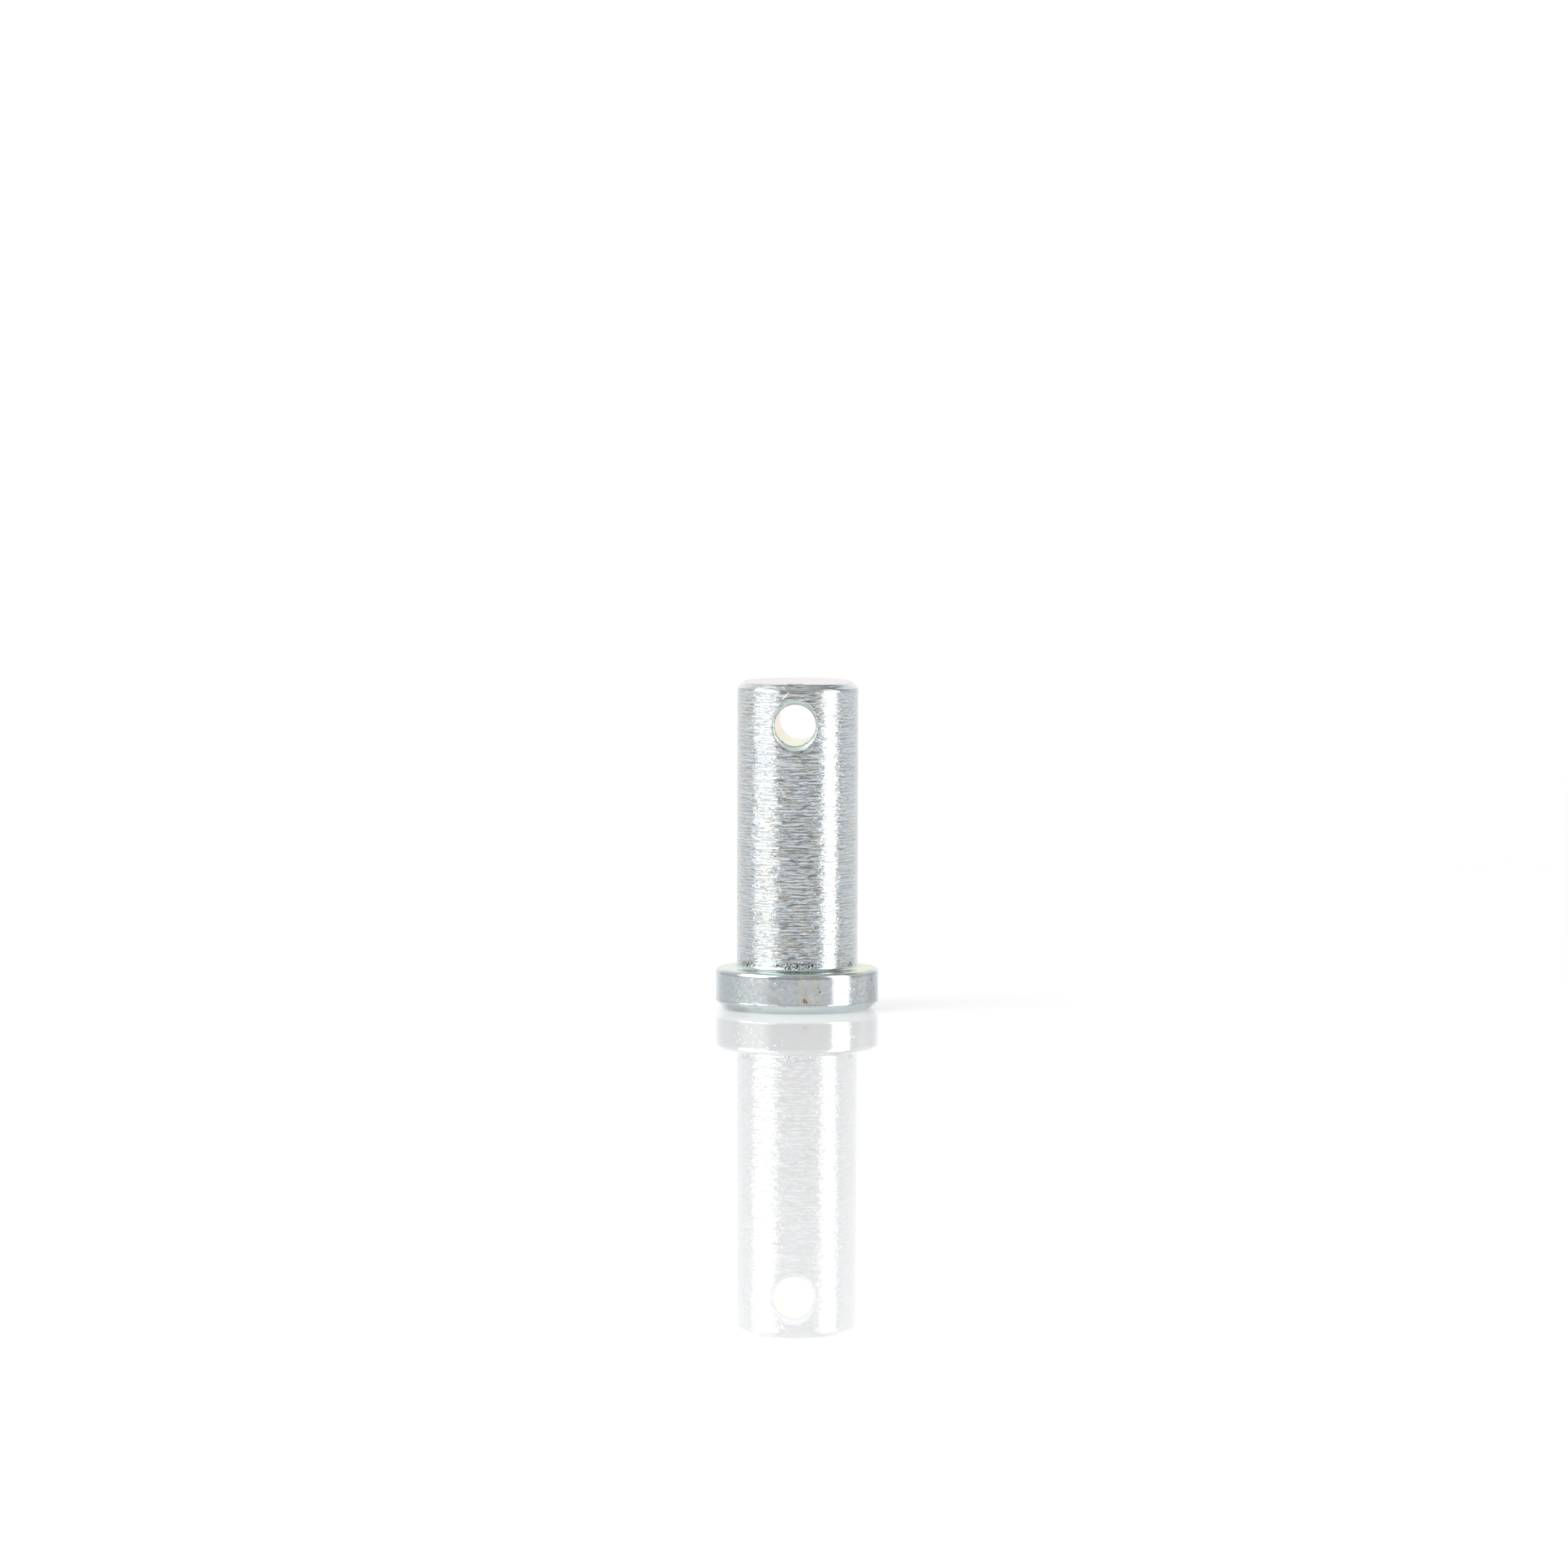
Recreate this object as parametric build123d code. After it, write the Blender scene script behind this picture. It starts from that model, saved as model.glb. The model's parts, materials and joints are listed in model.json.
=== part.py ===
from build123d import *

import os

# A headed lever pin, turned in one piece from bright drawn round bar.
# It stands on its head, with the shank pointing up and a countersunk cross hole near the tip.
# Lengths are in millimetres. The origin is the centre of the head's outer face, with +Z up the shank.

# Head, which keeps the drawn bar's own diameter
head_diameter = 16.0
head_height = 4.0
head_foot_chamfer = 0.75
head_shoulder_radius = 0.5

# Shank, turned down from the bar and measured from the head's shoulder to the tip
shank_diameter = 11.9
shank_length = 28.2
root_fillet_radius = 0.5

# Lead-in at the tip: a 45 degree chamfer that blends into the end face
tip_chamfer = 0.72
tip_face_radius = 0.8
tip_side_radius = 0.15

# Cross hole for the split pin, with its axis along Y
cross_hole_diameter = 4.0
cross_hole_to_tip = 4.1
countersink_diameter = 5.1
countersink_angle = 90.0

head_radius = head_diameter / 2
shank_radius = shank_diameter / 2
overall_length = head_height + shank_length

# The shoulder is the flat ring under the tip's side of the head. The two roundings at its edges
# share its width, so neither may take more than this part of it.
shoulder_width = head_radius - shank_radius
largest_shoulder_rounding = 0.4 * shoulder_width


def soften(section, corner, radius):
    # Rounds the corner of the section that lies at the given distance from the axis and height
    fillet(section.vertices().sort_by_distance(Vector(*corner))[0], radius)


def half_section():
    # Half section of the pin on the XZ plane, with the turning axis as its straight inner side
    foot_edge = (head_radius - head_foot_chamfer, 0)
    foot_side = (head_radius, head_foot_chamfer)
    shoulder = (head_radius, head_height)
    root = (shank_radius, head_height)
    tip_side = (shank_radius, overall_length - tip_chamfer)
    tip_edge = (shank_radius - tip_chamfer, overall_length)
    with BuildSketch(Plane.XZ) as section:
        with BuildLine():
            Polyline(
                (0, 0),
                foot_edge,
                foot_side,
                shoulder,
                root,
                tip_side,
                tip_edge,
                (0, overall_length),
                close=True,
            )
        make_face()
        soften(section, shoulder, min(head_shoulder_radius, largest_shoulder_rounding))
        soften(section, root, min(root_fillet_radius, largest_shoulder_rounding))
        soften(section, tip_side, tip_side_radius)
        soften(section, tip_edge, tip_face_radius)
    return section.sketch


def drill_cross_hole():
    # One countersunk hole is sunk from each side of the shank, so the two meet in one bore
    hole_height = overall_length - cross_hole_to_tip
    for side in (-1, 1):
        mouth = Plane(origin=(0, side * shank_radius, hole_height), z_dir=(0, side, 0))
        with Locations(mouth):
            CounterSinkHole(
                radius=cross_hole_diameter / 2,
                counter_sink_radius=countersink_diameter / 2,
                counter_sink_angle=countersink_angle,
                depth=shank_diameter,
            )


def lever_pin():
    with BuildPart() as pin:
        revolve(half_section(), axis=Axis.Z)
        drill_cross_hole()
    return pin.part


os.makedirs("parts", exist_ok=True)
export_step(lever_pin(), "parts/lever_pin.step")
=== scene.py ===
import json
import math

import bmesh
import bpy
import numpy as np
from mathutils import Matrix, Vector


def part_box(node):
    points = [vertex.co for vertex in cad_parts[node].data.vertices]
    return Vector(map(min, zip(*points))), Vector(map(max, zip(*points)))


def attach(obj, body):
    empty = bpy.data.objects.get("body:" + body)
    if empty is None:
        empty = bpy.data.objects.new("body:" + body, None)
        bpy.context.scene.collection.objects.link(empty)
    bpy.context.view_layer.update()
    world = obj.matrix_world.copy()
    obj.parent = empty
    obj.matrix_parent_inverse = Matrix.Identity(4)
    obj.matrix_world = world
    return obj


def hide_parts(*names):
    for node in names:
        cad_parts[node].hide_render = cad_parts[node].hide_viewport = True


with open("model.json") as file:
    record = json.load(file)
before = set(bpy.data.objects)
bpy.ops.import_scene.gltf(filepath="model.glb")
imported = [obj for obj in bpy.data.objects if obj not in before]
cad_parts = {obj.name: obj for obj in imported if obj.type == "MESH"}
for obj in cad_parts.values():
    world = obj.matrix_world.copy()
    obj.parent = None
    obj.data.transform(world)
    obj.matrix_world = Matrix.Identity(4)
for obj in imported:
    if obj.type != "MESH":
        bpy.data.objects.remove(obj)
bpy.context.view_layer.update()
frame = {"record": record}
print("frame loaded")

mm = 0.001
pinNode = "lever_pin"
mounts = {mount["name"]: mount for mount in frame["record"]["mounts"]}
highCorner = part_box(pinNode)[1]

# The pin, in millimetres. The main sizes are the frame's, the small edges are measured on the photo.
pin = {
    "headRadius": highCorner.x / mm,
    "length": highCorner.z / mm,
    "shoulderHeight": mounts["shoulder"]["pos_m"][2] / mm,
    "shankRadius": mounts["shank"]["dims"]["r_mm"],
    "holeHeight": mounts["cotter_hole"]["pos_m"][2] / mm,
    "boreRadius": mounts["cotter_hole"]["dims"]["r_mm"],
    "boreLength": mounts["cotter_hole"]["dims"]["length_mm"],
    "footChamfer": 0.75,
    "footSoftening": 0.07,
    "shoulderRounding": 0.5,
    "rootFillet": 0.5,
    "tipChamfer": 0.72,
    "tipFaceRounding": 0.8,
    "tipSideRounding": 0.32,
    "rimSoftening": 0.1,  # worn edge where the countersink meets the shank
    "rimWear": 0.08,  # how much wider wear has made it
    "boreSoftening": 0.24,  # the wider one where it meets the bore
    "rimCalm": (0.02, 0.2),  # distances from the rim between which the tool marks set in
    "columns": 160,  # round the axis; a multiple of 4, so that both mouths of the hole match
    "arcRows": 7,
    "shankRow": 0.068,  # height of one row of faces on the shank
    "plainRow": 0.45,  # and its width on the flat faces
    "rayRows": 14,  # rows from a window's border to the rim of its mouth
    "rimRows": 5,
    "coneRows": 3,
    "boreEdgeRows": 6,
    "boreRows": 24,
    "weld": 0.001,  # points closer than this are joined
    "windowAngle": 30.0,  # half of the shank's stretch that is meshed round a mouth, in degrees
    "windowHalfHeight": 3.0,
    "waveDepth": 0.0035,  # of the faint waves on the head's side
    "waveCells": (46, 0.9),  # cells of their noise in a turn, and a cell's height
}

# Pairs of heights, in millimetres, between which one surface or finish gives way to the next
zones = {
    "waveStart": (0.1, 0.5),
    "footEnd": (0.62, 0.7),
    "beadStart": (0.72, 0.84),
    "beadEnd": (0.84, 0.95),
    "headColourEnd": (3.6, 4.0),
    "headEnd": (3.8, 4.1),
    "shoulderStart": (3.85, 3.98),
    "shoulderEnd": (4.1, 4.4),
    "ringStart": (4.3, 4.55),
    "shankStart": (4.3, 4.6),
    "reliefStart": (4.35, 4.6),
    "cutsStart": (4.5, 4.8),
    "boreFloor": (26.2, 27.3),
    "ringEnd": (31.33, 31.5),
    "reliefEnd": (31.35, 31.5),
    "chamferStart": (31.42, 31.55),
    "end": (32.0, 32.15),
    "rightward": (-1.0, 5.0),  # along x
    "nearMouth": (-5.2, -4.8),  # along y
}

# How the cross hole's finish sets in: by depth below the shank and by distance from the hole's axis
holeEdges = {
    "depth": (0.2, 0.08),
    "mouth": (2.6, 2.7),
    "bore": (2.0, 2.08),
}

# Tool marks on the shank, in millimetres. One groove winds round it like a very fine thread.
rings = {
    "feed": 0.31,  # height gained in one turn
    "depth": 0.046,
    "skew": 0.6,  # under 1, the flank that looks up is the steep one
    "waver": 0.06,  # how far a ring strays, in turns
    "waverCells": (60, 0.5),  # cells of its noise in a turn, and a cell's height
    "drift": 0.5,  # how far all rings stray together, in turns
    "driftHeight": 1.1,  # height in which that changes
    "patches": 20,  # times the depth changes in one turn
    "shallowest": 0.16,  # as a share of the depth
    "patchPower": 1.7,  # over 1, shallow stretches are longer than deep ones
    "areaCells": (9, 3.2),
    "areaChange": 0.35,
    "swell": 0.006,
    "swellCells": (22, 0.55),
}

# The stretch above the hole's mouth where the marks are half rubbed away, by a share of their depth
quiet = {
    "angle": 3.0,  # degrees
    "height": 31.2,
    "halfAngle": 17.0,
    "halfHeight": 0.45,
    "share": 0.6,
    "fineHalfWidth": 2.4,  # the same for the material's fine marks
    "fineHalfHeight": 0.7,
    "fineShare": 0.7,
}


def smoothStep(low, high, value):
    # 0 below low, 1 above high, and a smooth s-curve between them
    share = np.clip((value - low) / (high - low), 0, 1)
    return share * share * (3 - 2 * share)


def lineNoise(position, seed):
    # Random heights from -1 to 1 at the whole numbers, joined by s-curves
    heights = np.random.default_rng(seed).uniform(-1, 1, 4096)
    whole = np.floor(position).astype(int)
    share = smoothStep(0, 1, position - whole)
    return heights[whole % 4096] * (1 - share) + heights[(whole + 1) % 4096] * share


def ringNoise(angle, height, cells, cellHeight, seed):
    # Random heights from -1 to 1 on a lattice round the pin, with a whole number of cells in a turn
    lattice = np.random.default_rng(seed).uniform(-1, 1, (1024, cells))
    across = angle / (2 * math.pi) * cells
    up = height / cellHeight
    column, row = np.floor(across).astype(int), np.floor(up).astype(int)
    shareAcross, shareUp = smoothStep(0, 1, across - column), smoothStep(0, 1, up - row)
    left, right = column % cells, (column + 1) % cells
    lower = lattice[row % 1024, left] * (1 - shareAcross) + lattice[row % 1024, right] * shareAcross
    row = row + 1
    upper = lattice[row % 1024, left] * (1 - shareAcross) + lattice[row % 1024, right] * shareAcross
    return lower * (1 - shareUp) + upper * shareUp


def toolMarks(angle, height):
    # Depth below the shank's radius: a helix of grooves, each one (sine of its width to the skew),
    # times a depth that wanders along the cut, with the height and from area to area, less a slow
    # swell of the whole surface
    waver = rings["waver"] * ringNoise(angle, height, *rings["waverCells"], 1)
    drift = rings["drift"] * lineNoise(height / rings["driftHeight"], 2)
    turns = height / rings["feed"] - angle / (2 * math.pi) + waver + drift
    turn = np.floor(turns)
    width = turns - turn
    along = (turn + angle / (2 * math.pi)) * rings["patches"]
    patch = (0.5 + 0.5 * lineNoise(along, 3)) ** rings["patchPower"]
    depth = rings["shallowest"] + (1 - rings["shallowest"]) * patch
    depth = depth * (0.7 + 0.5 * lineNoise(height / rings["feed"], 4))
    depth = depth * (1 + rings["areaChange"] * ringNoise(angle, height, *rings["areaCells"], 5))
    groove = np.sin(math.pi * width ** rings["skew"])
    swell = rings["swell"] * ringNoise(angle, height, *rings["swellCells"], 6)
    return rings["depth"] * depth * groove - swell


def shankRadiusAt(angle, height, calm):
    # Radius of the shank with its tool marks; calm fades the marks out, from 0, full, to 1, none
    return pin["shankRadius"] - toolMarks(angle, height) * (1 - calm)


def quietPatch(angle, height):
    # The quiet stretch as a bell curve across and up, at its full share in the middle
    across = (np.degrees(angle) - quiet["angle"]) / quiet["halfAngle"]
    up = (height - quiet["height"]) / quiet["halfHeight"]
    return quiet["share"] * np.exp(-(across ** 2) - up ** 2)


def roundedOutline():
    # Half section from the foot's centre to the tip's centre. Each corner is an arc of its own radius,
    # and each run between two arcs is divided evenly
    headRadius, shankRadius, top = pin["headRadius"], pin["shankRadius"], pin["length"]
    shoulder, foot, chamfer = pin["shoulderHeight"], pin["footChamfer"], pin["tipChamfer"]
    plain, fine = pin["plainRow"], pin["shankRow"]
    corners = [  # radius, height, rounding and the row spacing of the run that comes before
        (0, 0, 0, plain),
        (headRadius - foot, 0, pin["footSoftening"], plain),
        (headRadius, foot, pin["footSoftening"], 0.12),
        (headRadius, shoulder, pin["shoulderRounding"], 0.16),
        (shankRadius, shoulder, pin["rootFillet"], 0.2),
        (shankRadius, top - chamfer, pin["tipSideRounding"], fine),
        (shankRadius - chamfer, top, pin["tipFaceRounding"], 0.1),
        (0, top, 0, plain),
    ]
    points = [np.zeros((1, 2))]
    last = np.zeros(2)
    for index in range(1, len(corners)):
        corner = np.array(corners[index][:2])
        rounding, spacing = corners[index][2:]
        if rounding == 0:
            arc = corner[None]
        else:
            back = np.array(corners[index - 1][:2]) - corner
            ahead = np.array(corners[index + 1][:2]) - corner
            back, ahead = back / np.linalg.norm(back), ahead / np.linalg.norm(ahead)
            half = math.acos(float(back @ ahead)) / 2
            middle = (back + ahead) / np.linalg.norm(back + ahead)
            centre = corner + middle * rounding / math.sin(half)
            first = (corner + back * rounding / math.tan(half) - centre) / rounding
            final = (corner + ahead * rounding / math.tan(half) - centre) / rounding
            swing = math.acos(float(first @ final))
            share = np.linspace(0, 1, pin["arcRows"])[:, None]
            arc = centre + rounding * (
                np.sin((1 - share) * swing) * first + np.sin(share * swing) * final
            ) / math.sin(swing)
        steps = max(1, round(np.linalg.norm(arc[0] - last) / spacing))
        share = np.linspace(0, 1, steps + 1)[1:, None]
        points.append(last + (arc[0] - last) * share)
        points.append(arc[1:])
        last = arc[-1]
    return np.concatenate(points)


def outwardOf(outline):
    # Unit normals of the outline: its direction turned a quarter to the outside
    along = np.gradient(outline, axis=0)
    along = along / np.linalg.norm(along, axis=1)[:, None]
    return np.stack([along[:, 1], -along[:, 0]], 1)


# A dent that was knocked into the head's lower edge: depth and half sizes in millimetres
dent = {
    "angle": -28.3,  # degrees
    "height": 0.72,
    "depth": 0.09,
    "halfWidth": 0.26,
    "halfHeight": 0.2,
    "innerRadius": 7,  # it stays outside this radius
}


def turnedBody(outline, outward, angles):
    # The outline turned about the axis: (radius * sine, -radius * cosine, height) at each angle,
    # moved along its normal by the tool marks, the head's faint waves and the dent
    angle, height = angles[None, :], outline[:, 1][:, None]
    radius = outline[:, 0][:, None]
    onShank = smoothStep(*zones["ringStart"], height) * (1 - smoothStep(*zones["ringEnd"], height))
    onShank = onShank * (radius < pin["shankRadius"] + 0.1)
    marks = -toolMarks(angle, height) * (1 - quietPatch(angle, height)) * onShank
    onHead = (radius > pin["headRadius"] - 0.3) * smoothStep(*zones["waveStart"], height)
    marks = marks - pin["waveDepth"] * (1 + ringNoise(angle, height, *pin["waveCells"], 7)) * onHead
    across = (np.degrees(angle) - dent["angle"]) * math.pi / 180 * radius / dent["halfWidth"]
    up = (height - dent["height"]) / dent["halfHeight"]
    marks = marks - dent["depth"] * np.exp(-(across ** 2) - up ** 2) * (radius > dent["innerRadius"])
    radius = radius + outward[:, 0][:, None] * marks
    height = height + outward[:, 1][:, None] * marks
    return np.stack([radius * np.sin(angle), -radius * np.cos(angle), height], -1)


def windowBorder(outline, half):
    # The rectangle of the body's own grid round one mouth, as columns from its middle and rows
    offset = outline[:, 1] - pin["holeHeight"]
    onShank = np.abs(outline[:, 0] - pin["shankRadius"]) < 1e-9
    rows = np.flatnonzero((np.abs(offset) < pin["windowHalfHeight"]) & onShank)
    low, high = rows[0], rows[-1]
    up, across = np.arange(low, high), np.arange(-half, half)
    columns = np.concatenate([np.full(len(up), half), -across, np.full(len(up), -half), across])
    rows = np.concatenate([up, np.full(len(across), high), high + low - up, np.full(len(across), low)])
    return columns, rows, low, high


def mouth(side, borderAngle, borderHeight):
    # One mouth of the hole, from the window's border to the bore. Rays run from the border to the rim,
    # a curve softens the rim, then come the countersink's cone and another soft edge
    shankRadius, bore = pin["shankRadius"], pin["boreRadius"]
    # the cone's radius where it meets the shank's side
    sink = bore + shankRadius - pin["boreLength"] / 2 + pin["rimWear"]
    soft, inner = pin["rimSoftening"], pin["boreSoftening"]
    spoke = np.arctan2(borderHeight - pin["holeHeight"], shankRadius * np.sin(borderAngle))
    rim = np.full_like(spoke, sink)
    for _ in range(12):  # the cone narrows where the shank curves away from it
        rim = sink - shankRadius + np.sqrt(shankRadius ** 2 - (rim * np.cos(spoke)) ** 2)

    def onShank(reach):
        # Angle and height of the point that lies this far from the hole's axis along the spoke
        return np.arcsin(reach * np.cos(spoke) / shankRadius), pin["holeHeight"] + reach * np.sin(spoke)

    def fromAxis(reach, depth):
        return np.stack(
            [reach * np.cos(spoke), side * depth, pin["holeHeight"] + reach * np.sin(spoke)], -1
        )

    rimAngle, rimHeight = onShank(rim + soft)
    rows = []
    for share in np.linspace(0, 1, pin["rayRows"] + 1):
        angle = borderAngle + (rimAngle - borderAngle) * share
        height = borderHeight + (rimHeight - borderHeight) * share
        away = np.hypot(shankRadius * np.sin(angle), height - pin["holeHeight"]) - rim
        calm = 1 - smoothStep(*pin["rimCalm"], away) if share > 0 else np.zeros_like(away)
        around = angle if side < 0 else math.pi - angle
        calm = 1 - (1 - calm) * (1 - quietPatch(around, height))
        radius = shankRadiusAt(around, height, calm)
        rows.append(np.stack([radius * np.sin(around), -radius * np.cos(around), height], -1))
    corner = fromAxis(rim, np.sqrt(shankRadius ** 2 - (rim * np.cos(spoke)) ** 2))
    rows = bend(rows, corner, fromAxis(rim - soft, shankRadius - sink + rim - soft), pin["rimRows"])
    edgeDepth = shankRadius - sink + bore
    reach = np.minimum(bore + inner * 0.7, rim - soft * 1.2)  # the cone ends clear of the rim's curve
    start, end = rows[-1], fromAxis(reach, edgeDepth - bore + reach)
    rows += [start + (end - start) * share for share in np.linspace(0, 1, pin["coneRows"] + 1)[1:]]
    level = np.full_like(rim, bore)
    corner = fromAxis(level, np.full_like(rim, edgeDepth))
    end = fromAxis(level, np.full_like(rim, edgeDepth - inner))
    return bend(rows, corner, end, pin["boreEdgeRows"])


def bend(rows, corner, end, steps):
    # Quadratic curve from the last row to the end, pulled towards the corner
    start = rows[-1]
    shares = np.linspace(0, 1, steps + 1)[1:]
    return rows + [(1 - s) ** 2 * start + 2 * s * (1 - s) * corner + s * s * end for s in shares]


def gridFaces(grid, closed):
    # Four-sided faces of a grid of vertex numbers; closed joins its last column to its first
    if closed:
        grid = np.concatenate([grid, grid[:, :1]], 1)
    return np.stack([grid[:-1, :-1], grid[:-1, 1:], grid[1:, 1:], grid[1:, :-1]], -1)


def makePin():
    # The turned body with two windows left out of it, and the tunnel that runs from one to the other
    columns = pin["columns"]
    angles = (np.arange(columns) - columns // 2) * 2 * math.pi / columns
    outline = roundedOutline()
    body = turnedBody(outline, outwardOf(outline), angles)
    half = round(pin["windowAngle"] / 360 * columns)
    borderColumns, borderRows, low, high = windowBorder(outline, half)
    borderAngle = borderColumns * 2 * math.pi / columns
    borderHeight = outline[borderRows, 1]
    near, far = mouth(-1, borderAngle, borderHeight), mouth(1, borderAngle, borderHeight)
    shares = np.linspace(0, 1, pin["boreRows"] + 1)[1:-1]
    bore = [near[-1] + (far[-1] - near[-1]) * share for share in shares]
    tunnel = np.array(near + bore + far[::-1])

    bodyNumbers = np.arange(body.shape[0] * columns).reshape(body.shape[:2])
    bodyFaces = gridFaces(bodyNumbers, True)
    keep = np.ones(bodyFaces.shape[:2], bool)
    across = np.arange(-half, half)
    for window in (columns // 2 + across, (columns - across - 1) % columns):
        keep[low:high, window] = False
    tunnelNumbers = np.arange(tunnel.shape[0] * tunnel.shape[1]).reshape(tunnel.shape[:2])
    tunnelFaces = gridFaces(tunnelNumbers + bodyNumbers.size, True)
    points = np.concatenate([body.reshape(-1, 3), tunnel.reshape(-1, 3)]) * mm
    faces = np.concatenate([bodyFaces[keep], tunnelFaces.reshape(-1, 4)])

    mesh = bpy.data.meshes.new("turned_pin")
    mesh.from_pydata(points.tolist(), [], faces.tolist())
    shape = bmesh.new()
    shape.from_mesh(mesh)
    bmesh.ops.remove_doubles(shape, verts=shape.verts, dist=pin["weld"] * mm)
    loose = [vert for vert in shape.verts if not vert.link_faces]
    bmesh.ops.delete(shape, geom=loose, context="VERTS")
    bmesh.ops.recalc_face_normals(shape, faces=shape.faces)
    openEdges = sum(1 for edge in shape.edges if len(edge.link_faces) != 2)
    shape.to_mesh(mesh)
    shape.free()
    mesh.polygons.foreach_set("use_smooth", np.ones(len(mesh.polygons), bool))
    mesh.calc_loop_triangles()
    print("pin meshed:", len(mesh.loop_triangles), "triangles,", openEdges, "open edges")
    piece = bpy.data.objects.new("turned_pin", mesh)
    bpy.context.scene.collection.objects.link(piece)
    return piece


def newMaterial(name):
    material = bpy.data.materials.new(name)
    material.use_nodes = True
    material.node_tree.nodes.clear()
    return material, material.node_tree


def addNode(tree, kind, inputs=(), **settings):
    # Adds a node, sets its options, and gives its inputs a value or a link, by name or number
    node = tree.nodes.new(kind)
    for name, value in settings.items():
        setattr(node, name, value)
    for name, value in dict(inputs).items():
        if isinstance(value, bpy.types.NodeSocket):
            tree.links.new(value, node.inputs[name])
        else:
            node.inputs[name].default_value = value
    return node


def compute(tree, operation, first, second=0.0):
    # One step of arithmetic on numbers
    node = addNode(tree, "ShaderNodeMath", {0: first, 1: second}, operation=operation)
    return node.outputs[0]


def vectorMath(tree, operation, *inputs):
    # One step of arithmetic on vectors, which gives a number or a vector
    node = addNode(tree, "ShaderNodeVectorMath", dict(enumerate(inputs)), operation=operation)
    givesNumber = operation in ("LENGTH", "DISTANCE", "DOT_PRODUCT")
    return node.outputs["Value" if givesNumber else "Vector"]


def between(tree, value, low, high, fromValue=0.0, toValue=1.0):
    # Smooth change from one value to the other while the input goes from low to high
    node = addNode(
        tree, "ShaderNodeMapRange",
        {"Value": value, "From Min": low, "From Max": high, "To Min": fromValue, "To Max": toValue},
        interpolation_type="SMOOTHSTEP",
    )
    return node.outputs["Result"]


def above(tree, z, zone, fromValue=0.0, toValue=1.0):
    # 0 below the zone's two heights and 1 above them, or other values in their place
    low, high = zones[zone]
    return between(tree, z, low * mm, high * mm, fromValue, toValue)


def below(tree, z, zone):
    # 1 below the zone's two heights and 0 above them
    return above(tree, z, zone, 1.0, 0.0)


def stretched(tree, place, size):
    # The place, counted in steps of the given size in millimetres along x, y and z
    return vectorMath(tree, "MULTIPLY", place, [1 / (mm * s) for s in size])


def noise(tree, place, size, detail=2.0, roughness=0.5):
    # Noise whose features have the given size in millimetres along x, y and z
    node = addNode(
        tree, "ShaderNodeTexNoise",
        {"Vector": stretched(tree, place, size), "Scale": 1.0, "Detail": detail, "Roughness": roughness},
    )
    return node.outputs["Fac"]


def voronoi(tree, place, scale, feature):
    # Distance to the nearest of many scattered points, or to the edge between two of them
    node = addNode(
        tree, "ShaderNodeTexVoronoi", {"Vector": place, "Scale": scale, "Randomness": 1.0},
        feature=feature,
    )
    return node.outputs["Distance"]


def domes(tree, place, spacing):
    # Round bumps scattered about the given spacing apart: 1 in the middle, 0 from domeReach spacings on
    away = voronoi(tree, place, 1 / (spacing * mm), "F1")
    return between(tree, away, zinc["domeTop"], zinc["domeReach"], 1.0, 0.0)


def surfacePoint(radius, angle, height):
    # (radius * sine, -radius * cosine, height) in metres, from degrees and millimetres
    turn = math.radians(angle)
    return Vector((radius * math.sin(turn), -radius * math.cos(turn), height)) * mm


def spot(tree, place, radius, angle, height, halfWidth, halfHeight, soft=0.6):
    # 1 at a point of the surface and 0 beyond an ellipse round it; soft is the share that fades
    away = vectorMath(tree, "SUBTRACT", place, surfacePoint(radius, angle, height))
    away = vectorMath(tree, "LENGTH", stretched(tree, away, (halfWidth, halfWidth, halfHeight)))
    return between(tree, away, 1 - soft, 1.0, 1.0, 0.0)


def scratch(tree, place, first, last, radius, halfWidth):
    # 1 along the straight line between two points of the surface, each an angle and a height
    start = surfacePoint(radius, *first)
    along = surfacePoint(radius, *last) - start
    away = vectorMath(tree, "SUBTRACT", place, start)
    share = vectorMath(tree, "DOT_PRODUCT", away, along / along.length_squared)
    share = addNode(tree, "ShaderNodeClamp", {0: share}).outputs[0]
    nearest = addNode(tree, "ShaderNodeVectorMath", {0: along, "Scale": share}, operation="SCALE")
    away = vectorMath(tree, "DISTANCE", away, nearest.outputs[0])
    return between(tree, away, halfWidth * mm * 0.3, halfWidth * mm, 1.0, 0.0)


def tinted(tree, base, colour, share):
    # The base colour, changed to another one by the given share
    node = addNode(tree, "ShaderNodeMix", data_type="RGBA")
    for socket, value in ((node.inputs[0], share), (node.inputs[6], base), (node.inputs[7], colour)):
        if isinstance(value, bpy.types.NodeSocket):
            tree.links.new(value, socket)
        else:
            socket.default_value = value
    return node.outputs[2]


def total(tree, values):
    # Sum of sockets and numbers
    result = values[0]
    for value in values[1:]:
        result = compute(tree, "ADD", result, value)
    return result


def product(tree, *values):
    # Product of sockets and numbers
    result = values[0]
    for value in values[1:]:
        result = compute(tree, "MULTIPLY", result, value)
    return result


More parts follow.
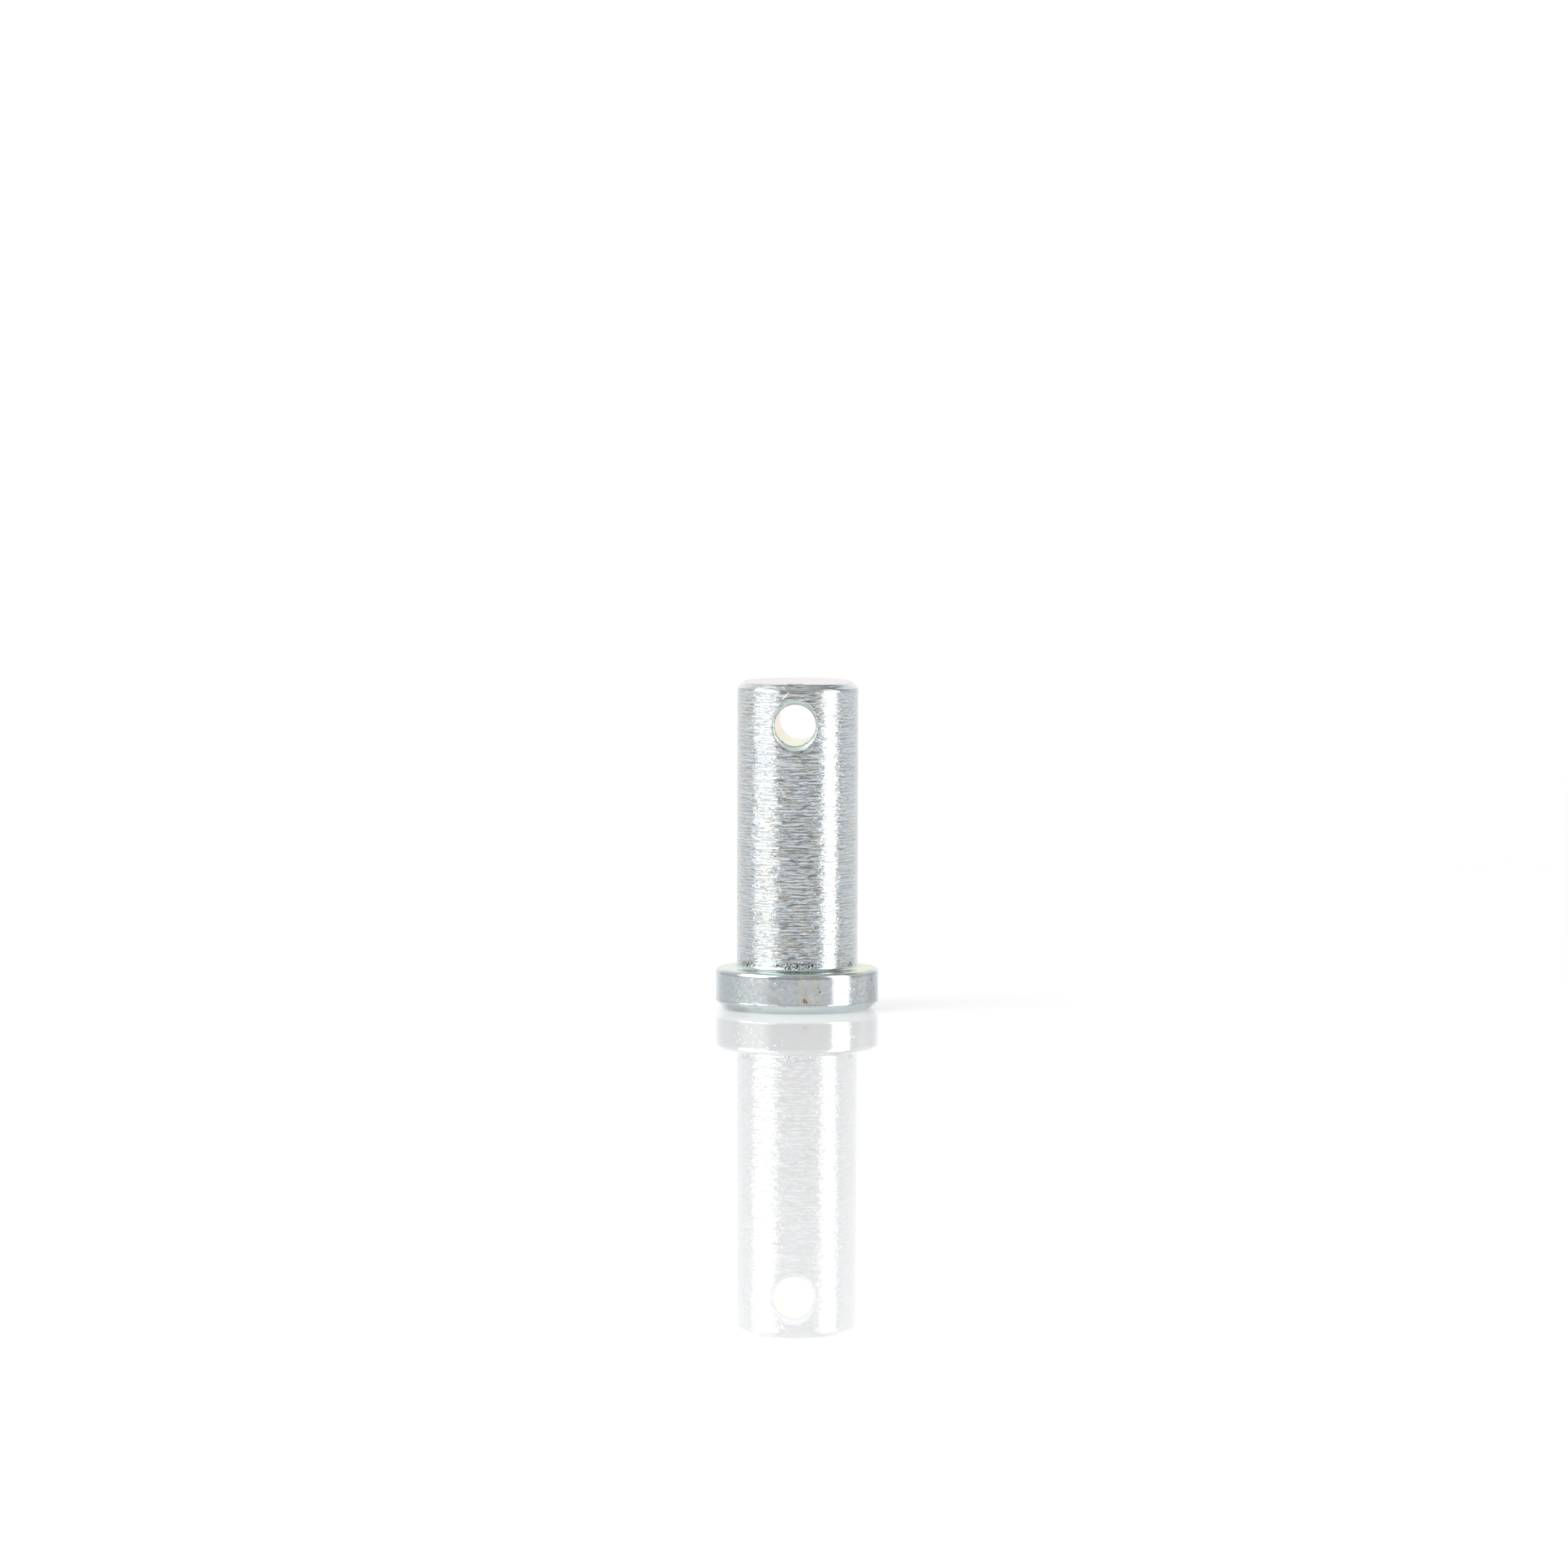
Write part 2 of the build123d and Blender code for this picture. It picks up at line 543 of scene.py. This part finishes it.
# Zinc-plated steel. Heights and sizes are in millimetres, colours are linear reflectances
zinc = {
    "cool": (0.654, 0.708, 0.74, 1),
    "warm": (0.68, 0.69, 0.66, 1),
    "cloudSize": (1.4, 1.4, 1.8),  # of the change between the two
    "warmRange": (0.42, 0.7),  # each range is the part of a noise over which something sets in
    "dull": (0.54, 0.6, 0.65, 1),  # darker and lighter blotches of the head
    "bright": (0.82, 0.84, 0.84, 1),
    "mottlingSize": (0.5, 0.5, 0.4),
    "dullRange": (0.52, 0.3),
    "brightRange": (0.52, 0.72),
    # lighter than the plating elsewhere: painted light that lifts the shade inside the hole
    "inHole": (0.86, 0.88, 0.86, 1),
    "cone": (0.86, 0.95, 0.91, 1),
    "shoulder": (0.6, 0.69, 0.7, 1),
    "foot": (0.71, 0.78, 0.78, 1),
    # colour of the cuts: some dirt, and painted shade
    "cutGrimeAndShade": (0.2, 0.19, 0.17, 1),
    # near black, laid on the raised half of each chatter mark
    "chatterDark": (0.1, 0.09, 0.08, 1),
    "shankRoughness": 0.15,
    "headRoughness": 0.16,
    "holeRoughness": 0.17,
    "coneRoughness": 0.5,
    "longSize": (3.4, 3.4, 0.21),  # long level lines
    "breakSize": (0.8, 0.8, 0.24),  # of the noise that breaks them off
    "breakRange": (0.38, 0.6),
    "longHeight": 0.115,
    "waveSize": (0.8, 0.8, 0.6),
    "waveHeight": 0.03,  # how far the torn streaks and cells stray from level
    "tornSize": (0.5, 0.5, 0.19),
    "tornHeight": 0.016,
    "cutSize": (2.6, 2.6, 0.27),
    "cutFadeSize": (0.9, 0.9, 0.2),
    "cutFadeRange": (0.38, 0.58),
    "cutDepth": 0.018,
    "cutWidth": 0.1,  # as a share of the noise that the cuts follow
    "cutDirtAndShade": 0.05,  # how far dirt and painted shade darken the cuts
    "frontShade": 0.7,  # and how much more painted shade darkens them on the front
    "cellSize": (0.6, 0.6, 0.36),
    "seamRange": (0.0, 0.13),
    "cellHeight": 0.003,
    "grainSize": (0.12, 0.12, 0.09),
    "grainHeight": 0.0012,
    "skinSize": (0.35, 0.35, 0.25),
    "skinHeight": 0.004,
    "patchySize": (0.5, 0.5, 0.45),  # of the stretches that have specks or flecks
    "patchyRange": (0.42, 0.56),
    "domeTop": 0.05,  # shares of their spacing
    "domeReach": 0.3,
    "speckSpacing": 0.34,  # small raised grains on the shank
    "speckHeight": 0.014,
    "fleckSpacing": 0.46,  # and larger ones on the head
    "fleckSize": (0.2, 0.2, 0.15),  # of the ripple on them
    "fleckRipple": 0.25,
    "fleckHeight": 0.024,
    "fleckShare": 0.12,  # outside the sparkling areas
    "beadSize": (1.2, 1.2, 1.2),
    "beadHeight": 0.055,  # along the upper edge of the foot's chamfer
    "chamferSize": (2.5, 2.5, 0.09),
    "chamferHeight": 0.06,
    "chatterHeight": 0.015,
    # how far the raised half of each chatter mark is darkened
    "chatterDarkening": 0.97,
    "chatterRange": (0.05, 0.3),
}

# Thin-film colours that the clear passivation shows at grazing angles
filmTints = {
    "end": (0.98, 0.9, 0.9, 1),
    "shoulderLeft": (0.94, 0.97, 0.87, 1),
    "shoulderRight": (0.97, 0.94, 0.79, 1),
    "boreSide": (1.0, 0.87, 0.75, 1),
    "boreBottom": (0.92, 0.91, 0.74, 1),
    "boreMouth": (0.8, 1.0, 0.95, 1),
}

# Stains, with spots of painted shade and a painted highlight among them: angle in degrees, height, half
# width, half height, colour and strength
shankStains = (
    (-3, 15.8, 0.45, 0.25, (0.42, 0.38, 0.3, 1), 0.6),
    (10.9, 10.0, 0.5, 0.9, (0.5, 0.44, 0.34, 1), 0.5),
    (-2, 18.6, 0.7, 0.6, (0.55, 0.52, 0.44, 1), 0.4),
)
holeStainsAndHighlight = (
    (-13.6, 26.5, 0.24, 0.16, (0.2, 0.23, 0.2, 1), 0.9),
    (11.6, 26.35, 0.24, 0.14, (0.4, 0.5, 0.5, 1), 0.9),
    # painted highlight: the light cyan patch low in the near cone is the tail of a softbox's reflection
    (8.5, 26.05, 0.5, 0.2, (0.7, 1.0, 1.0, 1), 0.9),
)
headStainsAndShade = (
    # the first two are wide grey darkenings of the head's left and right sides: painted shade
    (-60, 2.2, 2.4, 2.6, (0.5, 0.56, 0.6, 1), 0.6),
    (72, 2.2, 2.2, 2.8, (0.42, 0.46, 0.48, 1), 0.7),
    (-52, 0.3, 3.2, 0.55, (0.46, 0.49, 0.5, 1), 0.75),
    (5.5, 2.3, 0.5, 1.5, (0.74, 0.68, 0.57, 1), 0.6),
    (7.9, 1.35, 0.2, 0.32, (0.34, 0.2, 0.08, 1), 0.9),
    (9.4, 1.2, 0.12, 0.2, (0.2, 0.13, 0.07, 1), 0.9),
    (-27, 0.4, 0.9, 0.25, (0.5, 0.47, 0.4, 1), 0.4),
    (17.6, 2.57, 0.1, 0.13, (0.16, 0.13, 0.09, 1), 0.8),
    (18.9, 2.2, 0.13, 0.13, (0.13, 0.11, 0.09, 1), 0.9),
    (68.7, 3.1, 0.16, 0.3, (0.2, 0.19, 0.18, 1), 0.8),
    (72.0, 2.1, 0.14, 0.22, (0.24, 0.22, 0.2, 1), 0.7),
    (74.5, 1.5, 0.15, 0.2, (0.24, 0.22, 0.2, 1), 0.7),
    (77.5, 0.95, 0.15, 0.15, (0.3, 0.28, 0.24, 1), 0.7),
    (-4.4, 3.2, 0.1, 0.12, (0.3, 0.27, 0.22, 1), 0.6),
    (1.8, 3.0, 0.1, 0.08, (0.33, 0.3, 0.24, 1), 0.6),
)
holeSpotRadius = 5.3

# Areas that differ: angle in degrees, height, half width and half height
raggedArea = (22.0, 30.7, 1.1, 0.6)
# the shank's front, where the cuts get much more painted shade
frontShadeArea = (3.0, 18.0, 3.2, 30.0)

# Sparkling areas of the head's side: the same four values, and a strength
sparkles = (
    (-33, 2.4, 3.4, 1.9, 1.0),
    (-12, 2.9, 2.0, 0.7, 1.0),
    (52, 2.2, 3.5, 2.0, 0.6),
)

# Chatter marks over the root, where the tool shook at the end of its cut
chatterMarks = {
    "inTurn": 110,
    "lean": 9900,  # radians of their wave to a metre of height
    "jitter": 30.0,  # radians by which they stray
    "jitterSize": (0.5, 0.5, 0.5),
    "radius": 6.0,
    "height": 4.52,
    "halfHeight": 0.36,
    "stretches": ((2.0, 2.3), (-52.0, 1.3), (64.0, 0.5)),  # angle in degrees and half width
}

# Scratches: two ends, each an angle and a height, the radius of their surface, half width and depth
scratches = (
    ((-12.1, 30.75), (-6.7, 31.36), 5.95, 0.09, 0.02),
    ((-14.0, 21.85), (-8.5, 20.85), 5.95, 0.2, 0.016),
    ((-8.5, 20.85), (-1.5, 20.8), 5.95, 0.2, 0.016),
    ((26.5, 31.2), (31.0, 30.1), 5.95, 0.08, 0.015),
    ((-17.5, 0.93), (-4.0, 0.86), 8.0, 0.07, 0.03),
)


def rootChatter(tree, place, split):
    # Slanted marks: the sine of (marks in a turn * angle - lean * height + jitter), in a few stretches
    x, y, z = split.outputs
    angle = compute(tree, "ARCTAN2", x, product(tree, y, -1.0))
    phase = total(tree, [
        product(tree, angle, chatterMarks["inTurn"]),
        product(tree, z, -chatterMarks["lean"]),
        product(tree, noise(tree, place, chatterMarks["jitterSize"]), chatterMarks["jitter"]),
    ])
    radius, height, halfHeight = (chatterMarks[key] for key in ("radius", "height", "halfHeight"))
    stretches = total(tree, [
        spot(tree, place, radius, middle, height, halfWidth, halfHeight, 0.3)
        for middle, halfWidth in chatterMarks["stretches"]
    ])
    return product(tree, compute(tree, "SINE", phase), stretches)


def shankRelief(tree, place, split, onShank, patchy, cut):
    # The shank's fine marks, each times its height: level lines that break off where a second noise is
    # low, streaks torn along a slightly wavy height, cuts, flat cells with seams between, and specks
    x, y, z = split.outputs
    long = compute(tree, "SUBTRACT", noise(tree, place, zinc["longSize"], 1.0), 0.5)
    broken = between(tree, noise(tree, place, zinc["breakSize"], 1.0), *zinc["breakRange"])
    wave = product(tree, noise(tree, place, zinc["waveSize"], 1.0), zinc["waveHeight"] * mm)
    bent = addNode(
        tree, "ShaderNodeCombineXYZ", {"X": x, "Y": y, "Z": compute(tree, "ADD", z, wave)}
    ).outputs[0]
    ragged = spot(tree, place, pin["shankRadius"], *raggedArea)
    torn = product(tree, noise(tree, bent, zinc["tornSize"]), total(tree, [1.0, ragged]))
    seam = voronoi(tree, stretched(tree, bent, zinc["cellSize"]), 1.0, "DISTANCE_TO_EDGE")
    specks = product(tree, domes(tree, place, zinc["speckSpacing"]), patchy)
    parts = (
        (product(tree, long, broken), zinc["longHeight"]),
        (torn, zinc["tornHeight"]),
        (cut, -zinc["cutDepth"]),
        (between(tree, seam, *zinc["seamRange"]), zinc["cellHeight"]),
        (specks, zinc["speckHeight"]),
    )
    return [product(tree, part, onShank, height * mm) for part, height in parts]


def headRelief(tree, place, z, patchy):
    # Raised flecks on the head's side, mostly in the sparkling areas, and a bead along the foot's edge
    sparkling = [
        product(tree, spot(tree, place, pin["headRadius"], *area, 0.8), strength)
        for *area, strength in sparkles
    ]
    ripple = product(tree, noise(tree, place, zinc["fleckSize"], 2.0, 0.6), zinc["fleckRipple"])
    flecks = product(
        tree, total(tree, [domes(tree, place, zinc["fleckSpacing"]), ripple]), patchy,
        total(tree, sparkling + [zinc["fleckShare"]]), below(tree, z, "headEnd"),
    )
    bead = product(
        tree, above(tree, z, "beadStart"), below(tree, z, "beadEnd"),
        noise(tree, place, zinc["beadSize"]),
    )
    return [
        product(tree, flecks, zinc["fleckHeight"] * mm),
        product(tree, bead, zinc["beadHeight"] * mm),
    ]


def surfaceHeight(tree, place, split, inHole, cut, chatter):
    # Height of the fine relief, in metres, as a sum of parts that each belong to one surface
    z = split.outputs["Z"]
    calm = spot(
        tree, place, pin["shankRadius"], quiet["angle"], quiet["height"],
        quiet["fineHalfWidth"], quiet["fineHalfHeight"], 1.0,
    )
    onShank = product(
        tree, above(tree, z, "reliefStart"), below(tree, z, "reliefEnd"),
        compute(tree, "SUBTRACT", 1.0, inHole),
        compute(tree, "SUBTRACT", 1.0, product(tree, calm, quiet["fineShare"])),
    )
    offShank = compute(tree, "SUBTRACT", 1.0, onShank)
    notOnEnd = below(tree, z, "end")
    onChamfer = product(tree, above(tree, z, "chamferStart"), notOnEnd)
    patchy = between(tree, noise(tree, place, zinc["patchySize"], 1.0), *zinc["patchyRange"])
    grain = noise(tree, place, zinc["grainSize"])
    skin = noise(tree, place, zinc["skinSize"], 3.0, 0.55)
    lines = noise(tree, place, zinc["chamferSize"], 1.0)
    parts = shankRelief(tree, place, split, onShank, patchy, cut) + headRelief(tree, place, z, patchy)
    parts += [
        product(tree, grain, notOnEnd, zinc["grainHeight"] * mm),
        product(tree, skin, offShank, notOnEnd, zinc["skinHeight"] * mm),
        product(tree, lines, onChamfer, zinc["chamferHeight"] * mm),
        product(tree, chatter, zinc["chatterHeight"] * mm),
    ]
    for first, last, radius, halfWidth, depth in scratches:
        parts.append(product(tree, scratch(tree, place, first, last, radius, halfWidth), -depth * mm))
    return total(tree, parts)


def fromHole(tree, x, z):
    # Distance from the axis of the cross hole
    up = compute(tree, "SUBTRACT", z, pin["holeHeight"] * mm)
    return compute(tree, "SQRT", total(tree, [product(tree, x, x), product(tree, up, up)]))


def withStainsAndPaintedLight(tree, place, colour, radius, spotList):
    # The colour with the stains of one surface over it, and the spots of painted shade and painted
    # highlight listed among them
    for angle, height, halfWidth, halfHeight, spotColour, strength in spotList:
        share = spot(tree, place, radius, angle, height, halfWidth, halfHeight)
        colour = tinted(tree, colour, spotColour, product(tree, share, strength))
    return colour


def zincColour(tree, place, z, inHole, onCone, onShoulder, cut, chatter):
    # Cool and warm clouds, then the head's blotches, dirt and painted shade in the cuts, the near-black
    # chatter marks, the other surfaces, where the hole's lighter colour is painted light, and the stains,
    # with painted shade and a painted highlight among them
    clouds = noise(tree, place, zinc["cloudSize"], 3.0, 0.6)
    mottling = noise(tree, place, zinc["mottlingSize"], 4.0, 0.7)
    onHead = below(tree, z, "headColourEnd")
    isDull = product(tree, between(tree, mottling, *zinc["dullRange"]), onHead)
    isBright = product(tree, between(tree, mottling, *zinc["brightRange"]), onHead)
    inFront = spot(tree, place, pin["shankRadius"], *frontShadeArea, 0.5)
    # painted shade in the cuts, much stronger on the front, over a little dirt
    cutDirtAndShade = total(tree, [zinc["cutDirtAndShade"], product(tree, inFront, zinc["frontShade"])])
    chatterDarkening = product(tree, between(tree, chatter, *zinc["chatterRange"]), zinc["chatterDarkening"])
    layers = (
        ("warm", between(tree, clouds, *zinc["warmRange"])),
        ("dull", isDull),
        ("bright", isBright),
        ("cutGrimeAndShade", product(tree, cut, cutDirtAndShade)),
        ("chatterDark", chatterDarkening),
        ("shoulder", onShoulder),
        ("foot", below(tree, z, "footEnd")),
        ("inHole", inHole),
        ("cone", onCone),
    )
    colour = zinc["cool"]
    for name, share in layers:
        colour = tinted(tree, colour, zinc[name], share)
    colour = withStainsAndPaintedLight(tree, place, colour, pin["shankRadius"], shankStains)
    colour = withStainsAndPaintedLight(tree, place, colour, pin["headRadius"], headStainsAndShade)
    return withStainsAndPaintedLight(tree, place, colour, holeSpotRadius, holeStainsAndHighlight)


def filmColour(tree, place, split, inHole, onShoulder):
    # White but for the tip's end, the shoulder and the bore; the bore's floor and near mouth differ
    x, y, z = split.outputs
    low = below(tree, z, "boreFloor")
    atMouth = product(tree, below(tree, y, "nearMouth"), low)
    inBore = tinted(tree, filmTints["boreSide"], filmTints["boreBottom"], low)
    inBore = tinted(tree, inBore, filmTints["boreMouth"], atMouth)
    rightward = above(tree, x, "rightward")
    shoulder = tinted(tree, filmTints["shoulderLeft"], filmTints["shoulderRight"], rightward)
    colour = tinted(tree, (1, 1, 1, 1), filmTints["end"], above(tree, z, "end"))
    colour = tinted(tree, colour, shoulder, onShoulder)
    colour = tinted(tree, colour, inBore, inHole)
    return withStainsAndPaintedLight(tree, place, colour, holeSpotRadius, holeStainsAndHighlight)


def holeShares(tree, split):
    # 1 inside the cross hole and 1 on its two cones, from the distances to both axes
    x, y, z = split.outputs
    fromAxis = compute(tree, "SQRT", total(tree, [product(tree, x, x), product(tree, y, y)]))
    deep, shallow = ((pin["shankRadius"] - depth) * mm for depth in holeEdges["depth"])
    away = fromHole(tree, x, z)
    inner, outer = (edge * mm for edge in holeEdges["mouth"])
    sunk = between(tree, fromAxis, deep, shallow, 1.0, 0.0)
    inHole = product(tree, sunk, between(tree, away, inner, outer, 1.0, 0.0))
    inner, outer = (edge * mm for edge in holeEdges["bore"])
    return inHole, product(tree, inHole, between(tree, away, inner, outer))


def zincPlate():
    material, tree = newMaterial("zinc_plate")
    place = addNode(tree, "ShaderNodeTexCoord").outputs["Object"]
    split = addNode(tree, "ShaderNodeSeparateXYZ", {0: place})
    z = split.outputs["Z"]
    inHole, onCone = holeShares(tree, split)
    onShoulder = product(tree, above(tree, z, "shoulderStart"), below(tree, z, "shoulderEnd"))
    # cuts lie where a stretched noise passes its middle value, and they fade in and out
    follow = compute(tree, "SUBTRACT", noise(tree, place, zinc["cutSize"], 1.5), 0.5)
    follow = compute(tree, "ABSOLUTE", follow)
    cut = product(
        tree, between(tree, follow, 0.0, zinc["cutWidth"], 1.0, 0.0),
        between(tree, noise(tree, place, zinc["cutFadeSize"], 1.0), *zinc["cutFadeRange"]),
        above(tree, z, "cutsStart"),
    )
    chatter = rootChatter(tree, place, split)
    height = surfaceHeight(tree, place, split, inHole, cut, chatter)
    bump = addNode(tree, "ShaderNodeBump", {"Strength": 1.0, "Distance": 1.0, "Height": height})
    roughness = total(tree, [
        above(tree, z, "shankStart", zinc["headRoughness"], zinc["shankRoughness"]),
        product(tree, inHole, zinc["holeRoughness"] - zinc["shankRoughness"]),
        product(tree, onCone, zinc["coneRoughness"] - zinc["holeRoughness"]),
    ])
    surface = addNode(
        tree, "ShaderNodeBsdfPrincipled",
        {
            "Base Color": zincColour(tree, place, z, inHole, onCone, onShoulder, cut, chatter),
            "Metallic": 1.0,
            "Roughness": roughness,
            "Specular Tint": filmColour(tree, place, split, inHole, onShoulder),
            "Normal": bump.outputs[0],
        },
    )
    addNode(tree, "ShaderNodeOutputMaterial", {"Surface": surface.outputs[0]})
    return material


# The photo's camera, from the pin's outline: a long lens almost a metre away and a little above
camera = {
    "distance": 956.0,  # millimetres
    "azimuth": 2.87,  # degrees to the right of the hole's axis
    "pitch": 4.06,
    "roll": 0.16,
    "frameWidth": 1932,  # pixels
    "focalPixels": 12000,
    "aimHeight": 22.0,  # millimetres above the floor
    "aimLeft": 1.34,
    "sensor": 36.0,
    "nearest": 0.01,  # metres
    "farthest": 50,
}


def makeCamera():
    # The eye stands back from the aim along its own direction, then rolls about it
    azimuth, pitch, roll = (math.radians(camera[k]) for k in ("azimuth", "pitch", "roll"))
    back = Vector(
        (math.sin(azimuth) * math.cos(pitch), -math.cos(azimuth) * math.cos(pitch), math.sin(pitch))
    )
    right = Vector((math.cos(azimuth), math.sin(azimuth), 0))
    aim = Vector((0, 0, camera["aimHeight"])) - right * camera["aimLeft"]
    data = bpy.data.cameras.new("camera")
    data.sensor_width = camera["sensor"]
    data.lens = camera["sensor"] * camera["focalPixels"] / camera["frameWidth"]
    data.clip_start, data.clip_end = camera["nearest"], camera["farthest"]
    eye = bpy.data.objects.new("camera", data)
    eye.location = (aim + back * camera["distance"]) * mm
    eye.rotation_euler = (
        back.to_track_quat("Z", "Y").to_matrix().to_4x4()
        @ Matrix.Rotation(roll, 4, "Z")
    ).to_euler()
    bpy.context.scene.collection.objects.link(eye)
    bpy.context.scene.camera = eye


# The table: a glossy white sheet with a painted glow in place of light falling on it, weaker near the pin
# and stronger away from it
table = {
    "colour": (0.9, 0.9, 0.91, 1),
    "halfSize": 3.0,  # metres
    "paintedGlow": 0.2,
    "paintedFarGlow": 0.5,
    "near": 0.12,  # metres from the pin, where the painted glow starts to change, and where it ends
    "far": 0.6,
    "gloss": 0.77,
    "glossRoughness": 0.012,
}


def makeFloor():
    size = table["halfSize"]
    mesh = bpy.data.meshes.new("floor")
    mesh.from_pydata(
        [(-size, -size, 0), (size, -size, 0), (size, size, 0), (-size, size, 0)], [], [(0, 1, 2, 3)]
    )
    floor = bpy.data.objects.new("floor", mesh)
    bpy.context.scene.collection.objects.link(floor)
    material, tree = newMaterial("white_acrylic")
    place = addNode(tree, "ShaderNodeTexCoord").outputs["Object"]
    away = vectorMath(tree, "LENGTH", place)
    surface = addNode(
        tree, "ShaderNodeBsdfPrincipled",
        {
            "Base Color": table["colour"],
            "Roughness": 0.5,
            "Specular IOR Level": 0.0,
            "Coat Weight": table["gloss"],
            "Coat Roughness": table["glossRoughness"],
            "Coat IOR": 1.49,
            "Emission Color": (1, 1, 1, 1),
            # painted light: the sheet glows, more away from the pin
            "Emission Strength": between(
                tree, away, table["near"], table["far"], table["paintedGlow"], table["paintedFarGlow"]
            ),
        },
    )
    addNode(tree, "ShaderNodeOutputMaterial", {"Surface": surface.outputs[0]})
    mesh.materials.append(material)


# Softboxes: azimuth from the camera's direction and elevation in degrees, distance and size in metres
softboxes = {
    "right_strip": {
        "azimuth": 65, "elevation": 22, "distance": 0.55, "width": 0.265, "height": 0.46, "radiance": 2.6,
    },
    "left_high": {
        "azimuth": -69, "elevation": 36, "distance": 0.6, "width": 0.54, "height": 0.54, "radiance": 2.15,
    },
}


def makeSoftbox(name, centre, width, height, radiance):
    # A rectangle that faces the pin; its power is radiance * pi * area
    data = bpy.data.lights.new(name, "AREA")
    data.shape = "RECTANGLE"
    data.size, data.size_y = width, height
    data.energy = radiance * math.pi * width * height
    lamp = bpy.data.objects.new(name, data)
    lamp.location = centre
    lamp.rotation_euler = centre.to_track_quat("Z", "Y").to_euler()
    lamp.visible_camera = False
    bpy.context.scene.collection.objects.link(lamp)


def headingOf(azimuth, elevation):
    # Direction at the given angles from the camera's own direction, with both in degrees
    turn, up = math.radians(camera["azimuth"] + azimuth), math.radians(elevation)
    return Vector((math.sin(turn) * math.cos(up), -math.cos(turn) * math.cos(up), math.sin(up)))


def makeLights():
    for name, box in softboxes.items():
        centre = headingOf(box["azimuth"], box["elevation"]) * box["distance"]
        makeSoftbox(name, centre, box["width"], box["height"], box["radiance"])


# The room's brightness as rings, one above the other. Each has the elevations, in degrees, between
# which it takes over from the ring below, and stops of angle from the camera's direction and brightness
room = {
    "rings": (
        (0, 0, (
            (0, 0.29), (40, 0.3), (90, 0.36), (105, 0.52),
            (130, 0.6), (150, 0.84), (165, 0.98), (180, 1.04),
        )),
        (6, 16, ((0, 0.5), (80, 0.48), (105, 0.64), (125, 0.78), (150, 1.02), (165, 1.17), (180, 1.25))),
        (44, 56, ((0, 0.36), (60, 0.38), (95, 0.52), (130, 0.52), (150, 0.34), (180, 0.28))),
    ),
    # parts that differ: the ceiling, a dark stand on the right and the wall below the left softbox
    "patches": (
        {"azimuth": 0, "elevation": 86, "outer": 26, "inner": 14, "brightness": 0.72},
        {"azimuth": 119, "elevation": 51, "outer": 17, "inner": 6, "brightness": 0.24},
        {"azimuth": -64, "elevation": 5, "outer": 30, "inner": 12, "brightness": 0.72},
    ),
    "patchBlue": 0.95,  # the blue of those parts, as a share of their brightness
    "seen": 1.1,  # brightness where the camera sees the room itself
}


def makeRoom():
    # Rings and patches of grey by direction, as light and in reflections
    world = bpy.data.worlds.new("studio")
    bpy.context.scene.world = world
    world.use_nodes = True
    tree = world.node_tree
    tree.nodes.clear()
    direction = addNode(tree, "ShaderNodeTexCoord").outputs["Generated"]
    flat = vectorMath(tree, "NORMALIZE", vectorMath(tree, "MULTIPLY", direction, (1, 1, 0)))
    facing = vectorMath(tree, "DOT_PRODUCT", flat, headingOf(0, 0))
    angle = compute(tree, "DIVIDE", compute(tree, "ARCCOSINE", facing), math.pi)
    height = addNode(tree, "ShaderNodeSeparateXYZ", {0: direction}).outputs["Z"]
    colour = None
    for low, high, levels in room["rings"]:
        ramp = addNode(tree, "ShaderNodeValToRGB", {0: angle})
        stops = ramp.color_ramp.elements
        while len(stops) < len(levels):
            stops.new(1.0)
        for stop, (degrees, brightness) in zip(stops, levels):
            stop.position = degrees / 180
            stop.color = (brightness, brightness, brightness, 1)
        if colour is None:
            colour = ramp.outputs[0]
            continue
        low, high = math.sin(math.radians(low)), math.sin(math.radians(high))
        colour = tinted(tree, colour, ramp.outputs[0], between(tree, height, low, high))
    for patch in room["patches"]:
        heading = headingOf(patch["azimuth"], patch["elevation"])
        towards = vectorMath(tree, "DOT_PRODUCT", direction, heading)
        outer, inner = (math.cos(math.radians(patch[name])) for name in ("outer", "inner"))
        level = patch["brightness"]
        tone = (level, level, level * room["patchBlue"], 1)
        colour = tinted(tree, colour, tone, between(tree, towards, outer, inner))
    seen = room["seen"]
    byCamera = addNode(tree, "ShaderNodeLightPath").outputs["Is Camera Ray"]
    colour = tinted(tree, colour, (seen, seen, seen, 1), byCamera)
    light = addNode(tree, "ShaderNodeBackground", {"Color": colour, "Strength": 1.0})
    addNode(tree, "ShaderNodeOutputWorld", {"Surface": light.outputs[0]})


makeCamera()
print("camera placed")
turnedPin = makePin()
turnedPin.data.materials.append(zincPlate())
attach(turnedPin, "root")
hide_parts(pinNode)
print("pin finished")
makeFloor()
makeLights()
makeRoom()
bpy.context.scene.view_settings.view_transform = "Standard"
print("studio ready")
